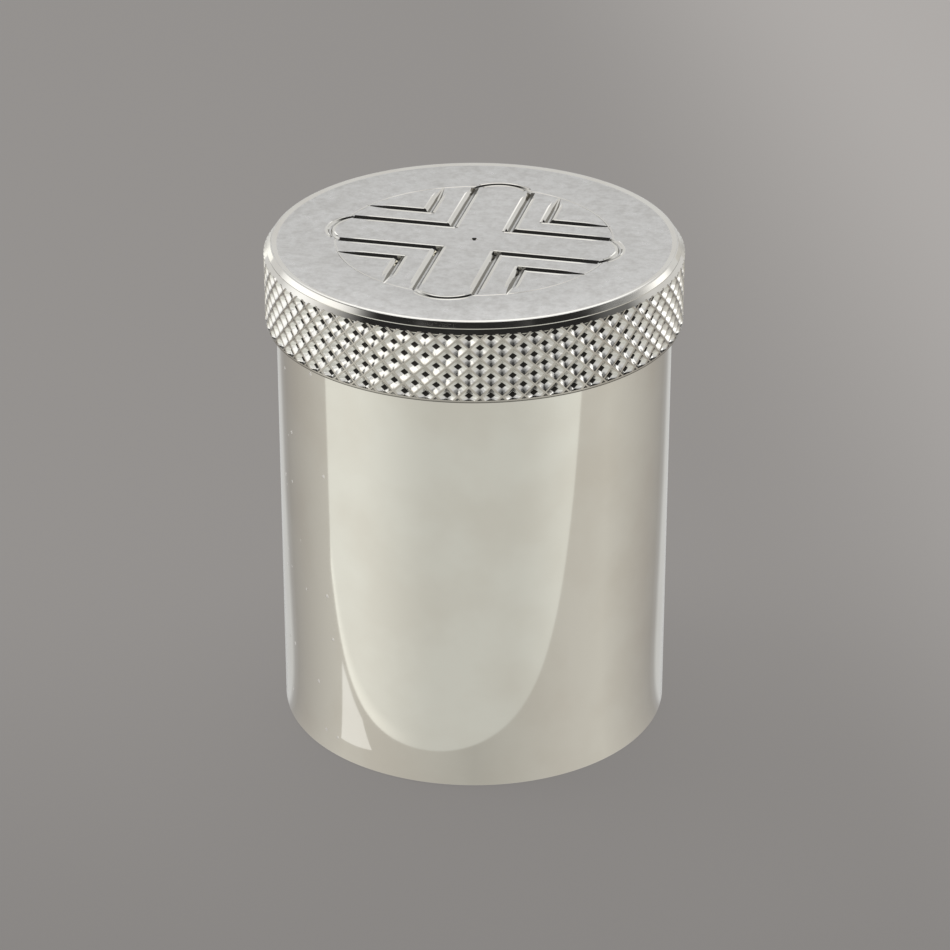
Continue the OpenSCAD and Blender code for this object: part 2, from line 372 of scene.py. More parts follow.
def knurl_plate(colours, pit_radius, ridge_radius, edge_height):
    """Bright plate on the knurling, darker at the bottom of each diamond and on the ridge tops, with painted
    shade along the lower edge.
    """
    material, graph, shader, place = new_surface("knurl_plate", Metallic=1.0)
    height = graph.remap(graph.size(graph.flattened(place, 0.0)), pit_radius, ridge_radius, 0.0, 1.0)
    clouds = graph.mix(graph.noise(place, 500, 3.0), opaque(colours.plate), opaque(colours.satin))
    # The ridge tops are tinted darker and browner.
    clean = graph.mix(graph.remap(height, 0.9, 0.98, 0.0, 0.6), clouds, opaque(colours.ridge))
    lift = graph.parts(place)[2]
    # Painted shade: a dark band along the cap's lower edge stands in for the shadow in the gap between the
    # cap and the body.
    seam = graph.remap(lift, edge_height + 0.04 * MM, edge_height + 0.16 * MM, 0.85, 0.0)
    # Darker at the bottom of each diamond, and painted shade along the lower edge.
    pit_dark_and_seam_shade_mask = graph.math("MAXIMUM", graph.remap(height, 0.03, 0.08, 1.0, 0.0), seam)
    grain = graph.bump(graph.noise(place, 2600, 3.0), 0.008, 0.4)
    graph.dress(shader, graph.mix(pit_dark_and_seam_shade_mask, clean, opaque(colours.dark_pits_and_painted_seam_shade)),
                graph.remap(height, 0.0, 0.2, 0.5, 0.2), grain)
    return material


def gilt_lining(colours):
    """Polished gilding, stained by oil in soft patches."""
    material, graph, shader, place = new_surface("gilt_lining", Metallic=1.0)
    stain = graph.noise(place, 210, 4.0, 0.6)
    hair = graph.noise(graph.flattened(place, 25.0), 800, 3.0)
    graph.dress(shader, graph.ramp(stain, (0.38, colours.gilt_shade), (0.6, colours.gilt)),
                graph.remap(stain, 0.35, 0.65, 0.28, 0.12), graph.bump(hair, 0.006, 0.4))
    return material


def cotton_wool(colours):
    """Loose cotton fibres, soaked with oil in places, with painted shade between the strands."""
    material, graph, shader, place = new_surface(
        "cotton_wool", **{"Sheen Weight": 0.35, "Sheen Roughness": 0.5})
    strand = graph.noise(place, 1500, 6.0, 0.75, 3.0)
    wet = graph.ramp(graph.noise(place, 140, 3.0), (0.4, colours.cotton), (0.68, colours.cotton_oiled))
    # Painted shade: the cotton is darker where the strands lie low in the bump.
    shade = graph.ramp(strand, (0.25, (0.72, 0.72, 0.72)), (0.6, (1.0, 1.0, 1.0)))
    graph.dress(shader, graph.mix(1.0, wet, shade, "MULTIPLY"), 0.95, graph.bump(strand, 0.25, 0.7))
    return material


def seal_rubber(colours):
    """Matt black rubber, rubbed paler in patches."""
    material, graph, shader, place = new_surface("seal_rubber", **{"Specular IOR Level": 0.35})
    rub = graph.noise(place, 380, 4.0, 0.6)
    graph.dress(shader, graph.ramp(rub, (0.4, colours.rubber), (0.68, colours.rubber_worn)),
                graph.remap(rub, 0.3, 0.7, 0.62, 0.8), graph.bump(graph.noise(place, 4200, 3.0), 0.02, 0.5))
    return material


def faced_plate(colours):
    """Plate on the base disc, with the fine rings that facing on a lathe leaves."""
    material, graph, shader, place = new_surface("faced_plate", Metallic=1.0)
    clouds = graph.noise(place, 190, 3.0)
    rings = graph.add("ShaderNodeTexWave",
                      {"Vector": place, "Scale": 700.0, "Distortion": 0.6, "Detail": 2.0},
                      wave_type="RINGS", rings_direction="Z").outputs["Fac"]
    graph.dress(shader, graph.ramp(clouds, (0.35, colours.plate_shade), (0.62, colours.plate)),
                graph.remap(clouds, 0.3, 0.7, 0.26, 0.16), graph.bump(rings, 0.01, 0.5))
    return material


def of_kind(items, kind):
    """The items of one kind among those that an operation gives back."""
    return [item for item in items if isinstance(item, kind)]


def face_out(mesh):
    """Turns all the faces of a mesh outward."""
    bmesh.ops.recalc_face_normals(mesh, faces=mesh.faces)


def turned(profile, steps, closed):
    """Turns a profile of (radius, height) corners round the axis; an open one has its two ends filled."""
    mesh = bmesh.new()
    corners = [mesh.verts.new((radius, 0.0, height)) for radius, height in profile]
    sides = [mesh.edges.new(pair) for pair in zip(corners, corners[1:])]
    if closed:
        sides.append(mesh.edges.new((corners[-1], corners[0])))
    bmesh.ops.spin(mesh, geom=corners + sides, cent=(0, 0, 0), axis=(0, 0, 1), angle=FULL_TURN,
                   steps=steps, use_merge=True)
    bmesh.ops.remove_doubles(mesh, verts=mesh.verts, dist=MERGE)
    if not closed:
        bmesh.ops.holes_fill(mesh, edges=[edge for edge in mesh.edges if edge.is_boundary], sides=0)
    face_out(mesh)
    return mesh


def round_edges(mesh, width, segments, chosen=None):
    """Rounds the sharp edges of a mesh, or only those that the test picks."""
    sharp = [edge for edge in mesh.edges
             if edge.calc_face_angle(0.0) > ROUNDED_OVER and (chosen is None or chosen(edge))]
    bmesh.ops.bevel(mesh, geom=sharp, offset=width, offset_type="OFFSET", segments=segments, profile=0.5,
                    affect="EDGES", clamp_overlap=True, material=-1)


def edge_middle(edge):
    """Middle of an edge."""
    return (edge.verts[0].co + edge.verts[1].co) / 2


def smooth_faces(mesh, limit):
    """Smooths the faces; edges over the limit are kept sharp unless they are marked as seams."""
    for face in mesh.faces:
        face.smooth = True
    for edge in mesh.edges:
        edge.smooth = edge.seam or edge.calc_face_angle(0.0) < limit


def new_object(mesh, name):
    """Turns a bmesh into an object in the scene."""
    data = bpy.data.meshes.new(name)
    mesh.to_mesh(data)
    mesh.free()
    piece = bpy.data.objects.new(name, data)
    bpy.context.scene.collection.objects.link(piece)
    return piece


def finish_piece(mesh, name, body, node, materials, limit=SHARP_OVER):
    """Makes the object that stands for a CAD node and rides with its body."""
    smooth_faces(mesh, limit)
    piece = new_object(mesh, name)
    for material in materials:
        piece.data.materials.append(material)
    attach(piece, body)
    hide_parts(node)
    return piece


def crest_half(sizes):
    """Half the width of a thread's crest."""
    return sizes.thread_lead / 12


def thread_room(sizes):
    """From the end of a thread's plain stretch to the middle of its ridge."""
    return crest_half(sizes) + sizes.thread_height * math.tan(sizes.flank_angle) + sizes.thread_runout


def thread_ridge(sizes, root_radius, crest_radius, low, high, offset):
    """A right-handed ridge that winds up at a height of lead times turns, plus the offset."""
    crest = crest_half(sizes)
    root = crest + abs(crest_radius - root_radius) * math.tan(sizes.flank_angle)
    start = FULL_TURN * (low - offset) / sizes.thread_lead
    turns = (high - low) / sizes.thread_lead
    steps = math.ceil(turns * THREAD_STEPS)
    mesh = bmesh.new()
    section = [mesh.verts.new((radius * math.cos(start), radius * math.sin(start), low + rise))
               for radius, rise in ((root_radius, -root), (crest_radius, -crest),
                                    (crest_radius, crest), (root_radius, root))]
    face = mesh.faces.new(section)
    bmesh.ops.spin(mesh, geom=section + list(face.edges) + [face], cent=(0, 0, 0), axis=(0, 0, 1),
                   dvec=(0, 0, (high - low) / steps), angle=FULL_TURN * turns, steps=steps)
    face_out(mesh)
    return mesh


def join(mesh, other):
    """Adds a second bmesh to the first."""
    data = bpy.data.meshes.new("part")
    other.to_mesh(data)
    other.free()
    mesh.from_mesh(data)
    bpy.data.meshes.remove(data)


# Shares of a diamond's slope and depth, from the ridge to the bottom of the hollow.
HOLLOW_STEPS = ((0.38, 0.5), (0.34, 0.32), (0.28, 0.18))


def knurled_band(sizes, bottom, low, high, tip_radius, inner_radius):
    """A ring of pressed diamonds between raised ridges, cut off square at both ends and closed behind."""
    mesh = bmesh.new()
    start = bottom + sizes.knurl_start - 1.5 * sizes.knurl_rise
    rows = math.ceil((high - start) / sizes.knurl_rise) + 1
    ring = bmesh.ops.create_circle(mesh, cap_ends=False, radius=tip_radius, segments=sizes.knurl_count)
    bmesh.ops.translate(mesh, verts=ring["verts"], vec=(0, 0, start))
    edges = list(mesh.edges)
    for _ in range(rows):
        grown = bmesh.ops.extrude_edge_only(mesh, edges=edges)["geom"]
        edges = of_kind(grown, bmesh.types.BMEdge)
        bmesh.ops.translate(mesh, verts=of_kind(grown, bmesh.types.BMVert), vec=(0, 0, sizes.knurl_rise))
    inner_edges = [edge for edge in mesh.edges if len(edge.link_faces) == 2]
    centres = bmesh.ops.poke(mesh, faces=list(mesh.faces))["verts"]
    bulge = 1 / math.cos(math.pi / sizes.knurl_count)
    bmesh.ops.scale(mesh, verts=centres, vec=(bulge, bulge, 1.0))
    bmesh.ops.dissolve_edges(mesh, edges=inner_edges, use_verts=False)
    face_out(mesh)
    diamonds = [face for face in mesh.faces if len(face.verts) == 4]
    if diamonds[0].normal.dot(diamonds[0].calc_center_median() * Vector((1, 1, 0))) < 0:
        bmesh.ops.reverse_faces(mesh, faces=mesh.faces)
    bmesh.ops.inset_individual(mesh, faces=diamonds, thickness=sizes.knurl_ridge, depth=0.0,
                               use_even_offset=True)
    crests = set(mesh.edges)
    for across, down in HOLLOW_STEPS:
        bmesh.ops.inset_individual(mesh, faces=diamonds, thickness=across * sizes.knurl_slope,
                                   depth=-down * sizes.knurl_depth, use_even_offset=True)
    for edge in mesh.edges:
        edge.seam = edge not in crests
    for height, side in ((low, -1.0), (high, 1.0)):
        bmesh.ops.bisect_plane(mesh, geom=list(mesh.verts) + list(mesh.edges) + list(mesh.faces), dist=MERGE,
                               plane_co=(0, 0, height), plane_no=(0, 0, side), clear_outer=True)
    shrink = inner_radius / tip_radius
    loops = []
    for height in (low, high):
        rim = [edge for edge in mesh.edges
               if edge.is_boundary and abs(edge_middle(edge).z - height) < 0.01 * MM]
        grown = bmesh.ops.extrude_edge_only(mesh, edges=rim)["geom"]
        bmesh.ops.scale(mesh, verts=of_kind(grown, bmesh.types.BMVert), vec=(shrink, shrink, 1.0))
        loops += of_kind(grown, bmesh.types.BMEdge)
    bmesh.ops.bridge_loops(mesh, edges=loops)
    face_out(mesh)
    for face in mesh.faces:
        face.material_index = KNURLED
    return mesh


def groove_section(width, floor, depth):
    """Corners (aside, height) of a cutter whose walls lean out to the given width at the surface."""
    spare = depth / 2
    lean = (width - floor) / 2 / depth
    return ((-floor / 2, -depth), (floor / 2, -depth),
            (width / 2 + lean * spare, spare), (-width / 2 - lean * spare, spare))


# Shares of a burr's width at which it starts beside its line, is highest and ends.
BURR_GAP, BURR_PEAK, BURR_END = 0.02, 0.4, 1.06
# Shares of a burr's height: how far its foot stands out or lies in, and how far its tapered end sinks.
BURR_FOOT, BURR_SINK = 0.1, 1.2


def burr_section(sizes, width, side):
    """Corners (aside, height) of the burr on one side of a line of the given width."""
    high = sizes.burr_height
    near, peak, far = (side * (width / 2 + share * sizes.burr_width)
                       for share in (BURR_GAP, BURR_PEAK, BURR_END))
    return ((near, -high), (near, BURR_FOOT * high), (peak, high), (far, -BURR_FOOT * high), (far, -high))


def add_line(mesh, section, aside, start, end, taper, lift, matrix):
    """A straight bar along +Y that the matrix then turns; it is lifted over its last stretch, the taper."""
    ring = [mesh.verts.new((aside + x, start, z)) for x, z in section]
    face = mesh.faces.new(ring)
    made = list(ring)
    for step in ((0, end - taper - start, 0), (0, taper, lift)):
        if step[1] > 0:
            grown = bmesh.ops.extrude_face_region(mesh, geom=[face])["geom"]
            ends = of_kind(grown, bmesh.types.BMVert)
            bmesh.ops.translate(mesh, verts=ends, vec=step)
            if len(made) > len(ring):
                bmesh.ops.delete(mesh, geom=[face], context="FACES_ONLY")
            face = of_kind(grown, bmesh.types.BMFace)[0]
            made += ends
    bmesh.ops.transform(mesh, matrix=matrix, verts=made)


def add_arc(mesh, section, radius, centre, start, sweep, matrix):
    """A curved bar round a centre on the Y axis, before the matrix turns it."""
    middle = Vector((0, centre, 0))
    before = set(mesh.verts)
    across, along = math.cos(start), math.sin(start)
    ring = [mesh.verts.new(middle + Vector((across * (radius + x), along * (radius + x), z)))
            for x, z in section]
    face = mesh.faces.new(ring)
    bmesh.ops.spin(mesh, geom=ring + list(face.edges) + [face], cent=middle, axis=(0, 0, 1), angle=sweep,
                   steps=ARC_STEPS)
    made = [vert for vert in mesh.verts if vert not in before]
    bmesh.ops.transform(mesh, matrix=matrix, verts=made)


# Corners of the prick and their turn: in line with the arms they made the boolean's result vary.
PRICK_CORNERS, PRICK_TURN = 20, math.radians(4)
# Share of a line's depth by which its tapered end is lifted.
TAPER_LIFT = 1.1


def cross_meshes(sizes, top):
    """One mesh of the cross's cuts (lines, curves, scribed circle, centre prick) and one of its burrs."""
    cuts = bmesh.new()
    burrs = bmesh.new()
    arm_half = sizes.arm_width / 2
    outer_half = arm_half + sizes.line_offset
    end_centre = sizes.arm_reach - sizes.arm_end_radius
    half_sweep = math.asin(arm_half / sizes.arm_end_radius)
    burr_sweep = half_sweep - sizes.line_width / sizes.arm_end_radius
    side_end = end_centre + sizes.arm_end_radius * math.cos(half_sweep)
    outer_end = math.sqrt((sizes.scribe_radius + sizes.line_overrun) ** 2 - outer_half ** 2)
    half_line = sizes.line_width / 2
    line = groove_section(sizes.line_width, sizes.line_floor, sizes.line_depth)
    curve = groove_section(sizes.curve_width, sizes.line_floor, sizes.curve_depth)
    scribe = groove_section(sizes.scribe_width, sizes.scribe_width / 4, sizes.scribe_depth)
    gap = math.asin(arm_half / sizes.scribe_radius)
    lifted = Matrix.Translation((0, 0, top))
    for arm in range(4):
        matrix = lifted @ Matrix.Rotation(arm * math.pi / 2, 4, "Z")
        for side in (-1, 1):
            for half, end, taper in ((arm_half, side_end, 0.0), (outer_half, outer_end, sizes.line_taper)):
                add_line(cuts, line, side * half, half - half_line, end, taper,
                         TAPER_LIFT * sizes.line_depth, matrix)
                burr_taper = max(taper / 2, sizes.line_width)
                for flank in (-1, 1):
                    add_line(burrs, burr_section(sizes, sizes.line_width, side * flank), side * half,
                             half + flank * half_line + BURR_GAP * sizes.burr_width, end - burr_taper,
                             burr_taper, -BURR_SINK * sizes.burr_height, matrix)
            add_arc(burrs, burr_section(sizes, sizes.curve_width, side), sizes.arm_end_radius, end_centre,
                    math.pi / 2 - burr_sweep, 2 * burr_sweep, matrix)
        add_arc(cuts, curve, sizes.arm_end_radius, end_centre, math.pi / 2 - half_sweep, 2 * half_sweep,
                matrix)
        add_arc(cuts, scribe, sizes.scribe_radius, 0.0, gap, math.pi / 2 - 2 * gap, matrix)
    prick = bmesh.ops.create_cone(
        cuts, cap_ends=True, segments=PRICK_CORNERS, radius1=0.0, radius2=2 * sizes.prick_radius,
        depth=2 * sizes.prick_radius, matrix=lifted @ Matrix.Rotation(PRICK_TURN, 4, "Z"))
    bmesh.ops.remove_doubles(cuts, verts=prick["verts"], dist=MERGE)
    for mesh in (cuts, burrs):
        face_out(mesh)
    return cuts, burrs


def combined_once(mesh, other, operation):
    """Unites two bmeshes or cuts the second out of the first, worked in millimetres."""
    for item in (mesh, other):
        bmesh.ops.scale(item, vec=(1 / MM, 1 / MM, 1 / MM), verts=item.verts)
    blank = new_object(mesh, "blank")
    tool = new_object(other, "tool")
    cut = blank.modifiers.new("combine", "BOOLEAN")
    cut.operation = operation
    cut.solver = "EXACT"
    cut.use_self = True
    cut.object = tool
    cut_data = bpy.data.meshes.new_from_object(blank.evaluated_get(bpy.context.evaluated_depsgraph_get()))
    result = bmesh.new()
    result.from_mesh(cut_data)
    for item in (blank, tool):
        data = item.data
        bpy.data.objects.remove(item)
        bpy.data.meshes.remove(data)
    bpy.data.meshes.remove(cut_data)
    bmesh.ops.scale(result, vec=(MM, MM, MM), verts=result.verts)
    bmesh.ops.dissolve_degenerate(result, dist=MERGE, edges=result.edges)
    bmesh.ops.triangulate(result, faces=[face for face in result.faces if len(face.verts) > 4])
    return result


def is_closed(mesh):
    """Whether each edge of a mesh lies between two faces."""
    return all(edge.is_manifold for edge in mesh.edges)


# How often a boolean is tried at most: its order of work varies, and a try can leave an odd edge.
CLOSING_TRIES = 12


def combined(mesh, other, operation):
    """Unites two bmeshes or cuts the second out of the first, again until the result is closed."""
    for _ in range(CLOSING_TRIES):
        result = combined_once(mesh.copy(), other.copy(), operation)
        if is_closed(result):
            break
    mesh.free()
    other.free()
    return result


def settings(context):
    """The scene's sizes and colours."""
    return context.scene.oil_stock_sizes, context.scene.oil_stock_colours


class OILSTOCK_OT_body_tube(bpy.types.Operator):
    """Turn the mirror-plated body tube"""

    bl_idname = "oil_stock.body_tube"
    bl_label = "Body Tube"

    def execute(self, context):
        sizes, colours = settings(context)
        radius, low, top = extents("body_tube")
        bore = radius - sizes.tube_wall
        mesh = turned([(bore, low), (radius, low), (radius, top), (bore, top)], BODY_STEPS, True)
        round_edges(mesh, sizes.foot_bevel, 4,
                    lambda edge: edge_middle(edge).z < top / 2 and edge_middle(edge).xy.length > bore * 1.02)
        round_edges(mesh, sizes.rim_bevel, 3, lambda edge: edge_middle(edge).z > top / 2)
        finish_piece(mesh, "body_tube_plated", "vessel", "body_tube", [shared_plate(colours)])
        return {"FINISHED"}


class OILSTOCK_OT_base_disc(bpy.types.Operator):
    """Turn the base disc that closes the foot"""

    bl_idname = "oil_stock.base_disc"
    bl_label = "Base Disc"

    def execute(self, context):
        sizes, colours = settings(context)
        radius, low, top = extents("base_disc")
        middle = radius * MIDDLE
        mesh = turned([(middle, low), (radius, low), (radius, top), (middle, top)], DISC_STEPS, False)
        round_edges(mesh, sizes.edge_round, 2)
        finish_piece(mesh, "base_disc_faced", "vessel", "base_disc", [faced_plate(colours)])
        return {"FINISHED"}


class OILSTOCK_OT_neck_collar(bpy.types.Operator):
    """Turn the neck and cut its outside thread"""

    bl_idname = "oil_stock.neck_collar"
    bl_label = "Neck Collar"

    def execute(self, context):
        sizes, colours = settings(context)
        seat, low, top = extents("neck_collar")
        shoulder = extents("body_tube")[2]
        bore = extents("oil_cup")[0] - sizes.cup_flange + sizes.cup_fit
        root = bore + sizes.neck_wall
        mesh = turned([(bore, low), (seat, low), (seat, shoulder), (root, shoulder), (root, top),
                       (bore, top)], NECK_STEPS, True)
        round_edges(mesh, sizes.edge_round, 2)
        room = thread_room(sizes)
        join(mesh, thread_ridge(sizes, root - sizes.overlap, root + sizes.thread_height, shoulder + room,
                                top - room, 0.0))
        finish_piece(mesh, "neck_collar_threaded", "vessel", "neck_collar", [shared_plate(colours)])
        return {"FINISHED"}


class OILSTOCK_OT_oil_cup(bpy.types.Operator):
    """Turn the gilt oil cup that hangs in the neck"""

    bl_idname = "oil_stock.oil_cup"
    bl_label = "Oil Cup"

    def execute(self, context):
        sizes, colours = settings(context)
        flange, low, top = extents("oil_cup")
        outside = flange - sizes.cup_flange
        inside = outside - sizes.cup_wall
        under = top - sizes.cup_flange_thickness
        floor = low + sizes.cup_wall
        middle = inside * MIDDLE
        mesh = turned([(middle, low), (outside, low), (outside, under), (flange, under), (flange, top),
                       (inside, top), (inside, floor), (middle, floor)], NECK_STEPS, False)
        round_edges(mesh, sizes.edge_round * 2, 3)
        finish_piece(mesh, "oil_cup_gilt", "vessel", "oil_cup", [gilt_lining(colours)])
        return {"FINISHED"}


# The wad: cuts along each side of its block, narrowing at its ends, drop of its crown, depth of its tufts.
WAD_CUTS, WAD_SHOULDER, WAD_CROWN, WAD_TUFT = 31, 0.18, 0.12, 0.05


class OILSTOCK_OT_cotton_wad(bpy.types.Operator):
    """Pack the cotton wad into the cup"""

    bl_idname = "oil_stock.cotton_wad"
    bl_label = "Cotton Wad"

    def execute(self, context):
        _, colours = settings(context)
        radius, low, top = extents("cotton_wad")
        centre = Vector((0, 0, (low + top) / 2))
        half = (top - low) / 2
        mesh = bmesh.new()
        bmesh.ops.create_cube(mesh, size=2.0)
        bmesh.ops.subdivide_edges(mesh, edges=list(mesh.edges), cuts=WAD_CUTS, use_grid_fill=True)
        for vert in mesh.verts:
            spread = max(abs(vert.co.x), abs(vert.co.y)) / max(vert.co.xy.length, 1e-6)
            round_plan = vert.co.xy * spread
            shoulder = 1 - WAD_SHOULDER * (abs(vert.co.z) ** 6)
            crown = 1 - WAD_CROWN * round_plan.length_squared
            tuft = 1 - WAD_TUFT * (1 + noise.fractal(vert.co * 2.6, 0.6, 2.2, 5))
            vert.co = centre + Vector((round_plan.x * shoulder * radius * tuft,
                                       round_plan.y * shoulder * radius * tuft,
                                       vert.co.z * half * crown * tuft))
        bmesh.ops.smooth_vert(mesh, verts=mesh.verts, factor=0.4, use_axis_x=True, use_axis_y=True,
                              use_axis_z=True)
        face_out(mesh)
        piece = finish_piece(mesh, "cotton_wad_tufted", "vessel", "cotton_wad",
                             [cotton_wool(colours)], math.pi)
        return {"FINISHED"}


class OILSTOCK_OT_sealing_disc(bpy.types.Operator):
    """Stamp the rubber sealing disc"""

    bl_idname = "oil_stock.sealing_disc"
    bl_label = "Sealing Disc"

    def execute(self, context):
        sizes, colours = settings(context)
        radius, low, top = extents("sealing_disc")
        press = extents("oil_cup")[0]
        dip = sizes.edge_round / 2
        inner = press - sizes.cup_flange - sizes.cup_wall
        middle = radius * MIDDLE
        mesh = turned([(middle, low), (inner, low), (inner + dip, low + dip), (press - dip, low + dip),
                       (press, low), (radius, low), (radius, top), (middle, top)], DISC_STEPS, False)
        round_edges(mesh, sizes.edge_round * 2, 3, lambda edge: edge_middle(edge).xy.length > press * 1.01)
        finish_piece(mesh, "sealing_disc_rubber", "seal", "sealing_disc", [seal_rubber(colours)])
        return {"FINISHED"}


# A face of the cap whose normal rises more than this belongs to its satin top.
LEVEL_FACE = 0.995


class OILSTOCK_OT_screw_cap(bpy.types.Operator):
    """Turn, knurl and engrave the screw cap"""

    bl_idname = "oil_stock.screw_cap"
    bl_label = "Screw Cap"

    def execute(self, context):
        sizes, colours = settings(context)
        radius, low, top = extents("screw_cap")
        seal_radius, seal_low, _ = extents("sealing_disc")
        bore = seal_radius + sizes.seal_fit
        ceiling = top - sizes.cap_top_wall
        bevel_low = top - sizes.bevel_height
        rim = radius - sizes.bevel_width
        step, step_middle = radius - sizes.bevel_width / 2, top - sizes.bevel_height / 2
        band_low = low + sizes.cap_lip
        core = radius - sizes.knurl_depth - 2 * sizes.overlap
        mesh = turned([(bore, ceiling), (bore, low + sizes.cap_mouth), (bore + sizes.cap_mouth, low),
                       (radius, low), (radius, band_low), (core, band_low), (core, bevel_low),
                       (radius, bevel_low), (step, step_middle - sizes.bevel_step / 2),
                       (step, step_middle + sizes.bevel_step / 2),
                       (rim, top + sizes.rim_rise), (rim - sizes.rim_width, top)], BODY_STEPS, False)
        round_edges(mesh, sizes.rim_round, 3, lambda edge: edge_middle(edge).z > top + sizes.rim_rise / 2)
        round_edges(mesh, sizes.lip_round, 3,
                    lambda edge: edge_middle(edge).z < band_low - sizes.overlap
                    and edge_middle(edge).xy.length > core)
        cuts, burrs = cross_meshes(sizes, top)
        mesh = combined(combined(mesh, cuts, "DIFFERENCE"), burrs, "UNION")
        if not is_closed(mesh):
            self.report({"WARNING"}, "an open edge was left")
        for face in mesh.faces:
            middle = face.calc_center_median()
            lip = middle.z < band_low and middle.xy.length > core
            face.material_index = SATIN if face.normal.z > LEVEL_FACE else KNURLED if lip else BRIGHT
        join(mesh, knurled_band(sizes, low, band_low - sizes.overlap / 2, bevel_low + sizes.overlap / 2,
                                radius, core - sizes.overlap))
        room = thread_room(sizes)
        join(mesh, thread_ridge(sizes, bore + sizes.overlap, bore - sizes.thread_height,
                                low + sizes.cap_mouth + room, seal_low - room, sizes.thread_lead / 2))
        finish_piece(mesh, "screw_cap_knurled", "cap", "screw_cap",
                     [shared_plate(colours), satin_plate(colours),
                      knurl_plate(colours, radius - sizes.knurl_depth, radius, low)])
        return {"FINISHED"}


def add_camera(stage):
    """The camera at the photograph's viewing angle."""
    data = bpy.data.cameras.new("camera")
    data.sensor_width = SENSOR_WIDTH
    data.lens = stage.focal_pixels / PHOTO_SIDE * SENSOR_WIDTH
    data.clip_start = 10 * MM
    camera = bpy.data.objects.new("camera", data)
    camera.matrix_world = (
        Matrix.Rotation(stage.camera_turn, 4, "Z")
        @ Matrix.Translation((stage.camera_aside, -stage.camera_distance, stage.camera_height))
        @ Matrix.Rotation(math.pi / 2 - stage.camera_pitch, 4, "X"))
    bpy.context.scene.collection.objects.link(camera)
    bpy.context.scene.camera = camera


# Side and place of each soft light, and the place that both look at, in metres.
TOP_LIGHT = (0.35, (-0.05, 0.05, 0.5))
SIDE_LIGHT = (0.25, (-0.4, -0.05, 0.3))
LIT_PLACE = Vector((0, 0, 0.02))


def add_panel_light(name, power, side, place):
    """A square soft light that looks at the object and that the metal does not show."""
    data = bpy.data.lights.new(name, "AREA")
    data.energy = power
    data.shape = "SQUARE"
    data.size = side
    lamp = bpy.data.objects.new(name, data)
    lamp.location = place
    lamp.rotation_mode = "QUATERNION"
    lamp.rotation_quaternion = (LIT_PLACE - Vector(place)).to_track_quat("-Z", "Y")
    lamp.visible_glossy = False
    bpy.context.scene.collection.objects.link(lamp)


def plain_sheet(name, corners, turn, material):
    """A flat sheet on the stage with the given corners, turned round the axis."""
    mesh = bmesh.new()
    outline = [mesh.verts.new(corner) for corner in corners]
    mesh.faces.new(outline)
    bmesh.ops.rotate(mesh, verts=outline, matrix=Matrix.Rotation(turn, 3, "Z"))
    sheet = new_object(mesh, name)
    sheet.data.materials.append(material)
    return sheet


def mirrored_card(name, corners, turn, material):
    """A card that only the metal shows."""
    card = plain_sheet(name, corners, turn, material)
    card.visible_camera = False
    card.visible_shadow = False
    card.visible_diffuse = False


def second_look(graph, ray):
    """Dims what the metal shows of itself showing the stage, so the pits and lines stay crisp."""
    return graph.remap(ray["Glossy Depth"], 1.0, 2.0, 1.0, 0.4)


def wall_bearing(graph, turn):
    """For a place on the floor, the bearing of the body's wall that shows it to the camera, from the camera's
    direction and as a share of a third of a turn."""
    place = graph.place()
    x, y, _ = graph.parts(place, turn)
    around = graph.math("ARCTAN2", graph.math("ABSOLUTE", x), graph.product(y, -1.0))
    spread = graph.math("SUBTRACT", 2.0, graph.math("DIVIDE", extents("body_tube")[0], graph.size(place)))
    return graph.math("DIVIDE", graph.math("DIVIDE", around, spread), FULL_TURN / 3)


def floor_material(colours, turn):
    """Plain floor that mostly glows, with painted light darker towards the front and brighter towards the
    right; in the metal it shows as the pale table round the object.
    """
    material, graph = new_material("stage_floor")
    shade = graph.ramp(wall_bearing(graph, turn),
                       (0.0, (0.48, 0.47, 0.435)), (0.25, (0.62, 0.60, 0.555)), (0.357, (0.66, 0.64, 0.59)),
                       (0.448, (0.57, 0.55, 0.51)), (0.546, (0.46, 0.44, 0.41)), (0.62, (0.385, 0.37, 0.35)),
                       (0.655, (0.42, 0.41, 0.40)), (0.69, (0.62, 0.62, 0.61)))
    place = graph.place()
    x, y, _ = graph.parts(place, turn)
    # Painted light: the floor's glow falls off towards the front and rises towards the right, as a lamp's
    # pool of light would.
    behind = graph.remap(y, -45 * MM, 25 * MM, 0.8, 1.0)
    corner = graph.remap(graph.math("ADD", x, graph.product(y, 0.15)), 22 * MM, 65 * MM, 0.0, 0.55)
    lit = graph.add("ShaderNodeBsdfDiffuse", {"Color": opaque(colours.floor)}).outputs["BSDF"]
    even = graph.glow(opaque(colours.floor), graph.math("ADD", behind, corner))
    ray = graph.add("ShaderNodeLightPath").outputs
    flank = graph.math("SUBTRACT", graph.math("ABSOLUTE", x), graph.product(y, 0.5))
    beyond = graph.product(graph.remap(graph.size(place), 95 * MM, 160 * MM, 0.0, 1.0),
                           graph.remap(flank, -40 * MM, 40 * MM, 0.0, 1.0),
                           graph.remap(x, 0.0, 40 * MM, 1.0, 0.3))
    table = graph.mix(beyond, shade, (1.25, 1.25, 1.2, 1.0))
    both = graph.blend(ray["Is Glossy Ray"], graph.blend(0.85, lit, even),
                       graph.glow(table, second_look(graph, ray)))
    graph.add("ShaderNodeOutputMaterial", {"Surface": both})
    return material


def card_material(colours, turn, card_turn, card_gap):
    """Pale card that is a little brighter towards its ends and along the left of its near edge."""
    material, graph = new_material("stage_card")
    end = graph.remap(wall_bearing(graph, turn), 0.08, 0.33, 0.82, 1.12)
    x, y, _ = graph.parts(graph.place(), card_turn)
    edge = graph.remap(y, -card_gap - 1.6 * MM, -card_gap - 0.2 * MM, 0.0, 0.22)
    rim = graph.product(edge, graph.remap(x, 0.0, -7 * MM, 0.0, 1.0))
    glow = graph.glow(opaque(colours.card), graph.math("ADD", end, rim))
    graph.add("ShaderNodeOutputMaterial", {"Surface": glow})
    return material


def glowing(name, strength):
    """A plain white card of the given brightness."""
    material, graph = new_material(name)
    graph.add("ShaderNodeOutputMaterial", {"Surface": graph.glow((1.0, 0.99, 0.95, 1.0), strength)})
    return material


